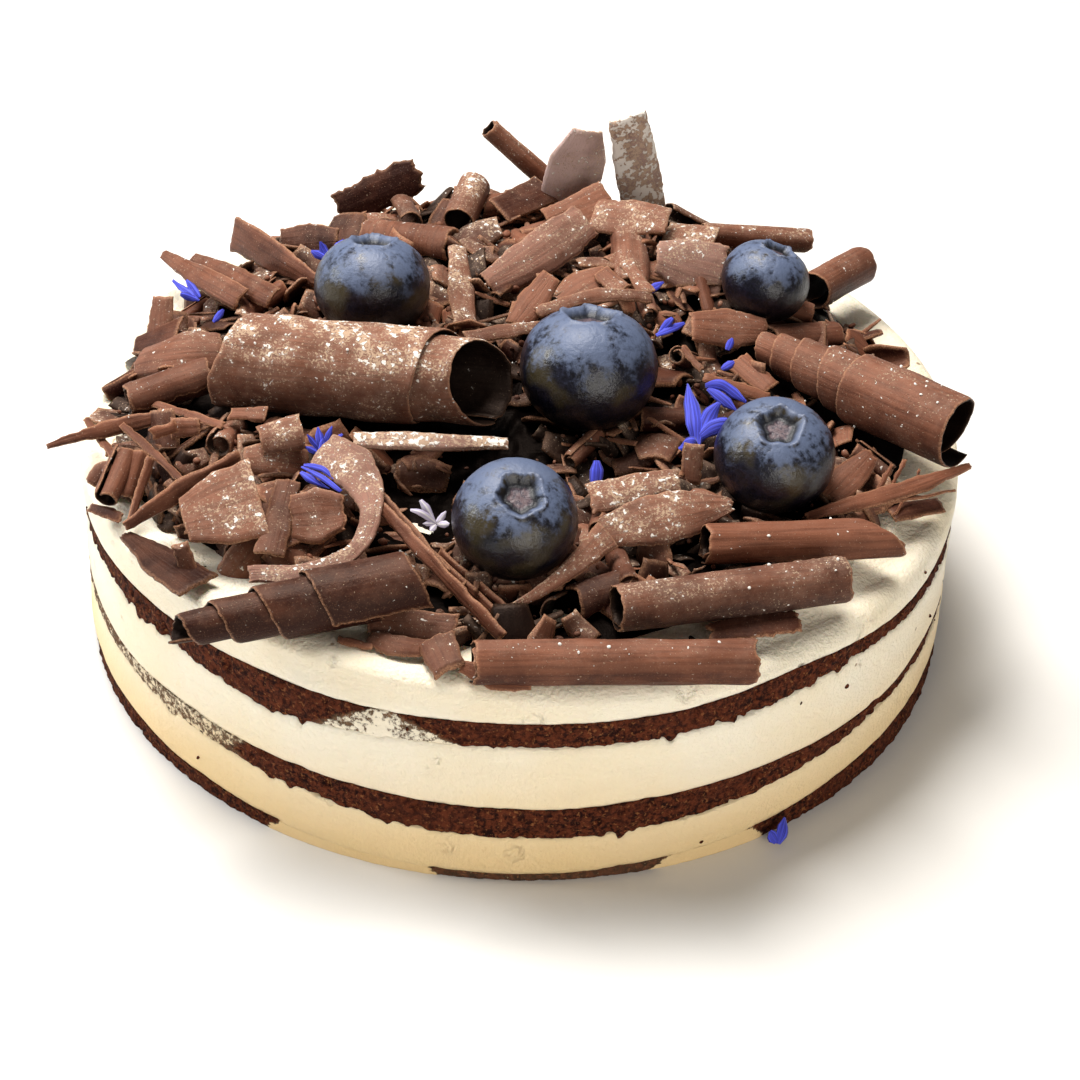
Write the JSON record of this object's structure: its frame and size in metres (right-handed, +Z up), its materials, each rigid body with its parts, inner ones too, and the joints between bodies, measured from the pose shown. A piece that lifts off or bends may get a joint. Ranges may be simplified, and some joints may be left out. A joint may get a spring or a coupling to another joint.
{
  "type": "black forest cake",
  "caption": "Round layered chocolate and cream cake under chocolate shavings, rolled curls, blueberries and blue petals, for serving or display.",
  "frame": {"origin": "centre of the cake's flat underside", "axes": "+Z up through the layers, -Y towards the front that the picture shows, +X to its right"},
  "size_m": [0.1638, 0.1616, 0.075],
  "materials": {
    "cream": "soft whipped cream, smooth at the side, with fine pits and specks",
    "sponge": "dark chocolate sponge with an open, crumbly cut face",
    "chocolate": "shaved chocolate, satin, finely ridged, dusted with sugar",
    "shavings": "small broken chocolate shavings, dusted with sugar",
    "blueberry": "dark blue skin with a pale waxy bloom",
    "petal": "thin velvety violet-blue petal"
  },
  "bodies": {
    "root": {"arch_left": "chocolate", "bar_dusty": "chocolate", "blade_back": "chocolate", "blade_front": "chocolate", "blade_left": "chocolate", "blueberry_back_left": "blueberry", "blueberry_back_right": "blueberry", "blueberry_centre": "blueberry", "blueberry_front": "blueberry", "blueberry_right": "blueberry", "chip_front": "chocolate", "cone_left": "chocolate", "cone_right": "chocolate", "cream_lower": "cream", "cream_middle": "cream", "cream_top": "cream", "curl_large": "chocolate", "fold_left": "chocolate", "gutter_back": "chocolate", "gutter_back_left": "chocolate", "gutter_right": "chocolate", "petal_back_left": "petal", "petal_base": "petal", "petal_front_dark": "petal", "petal_front_left": "petal", "petal_left": "petal", "petal_middle": "petal", "petal_right": "petal", "petal_right_small": "petal", "plate_back_right": "chocolate", "plate_dusty": "chocolate", "plate_front_left": "chocolate", "plate_middle_lower": "chocolate", "plate_middle_upper": "chocolate", "plate_right": "chocolate", "ribbon_curl": "chocolate", "roll_back_bar": "chocolate", "roll_back_right": "chocolate", "roll_back_small": "chocolate", "roll_back_tall": "chocolate", "roll_front": "chocolate", "roll_left": "chocolate", "roll_left_small": "chocolate", "roll_middle": "chocolate", "roll_right": "chocolate", "shard_back": "chocolate", "shard_back_left": "chocolate", "shard_front_left": "chocolate", "shard_tall": "chocolate", "shavings_heap": "shavings", "sheet_front_right": "chocolate", "spike_left": "chocolate", "splinter_left": "chocolate", "sponge_base": "sponge", "sponge_middle": "sponge", "sponge_upper": "sponge", "strand_right": "chocolate", "strip_front": "chocolate"}
  },
  "joints": []
}
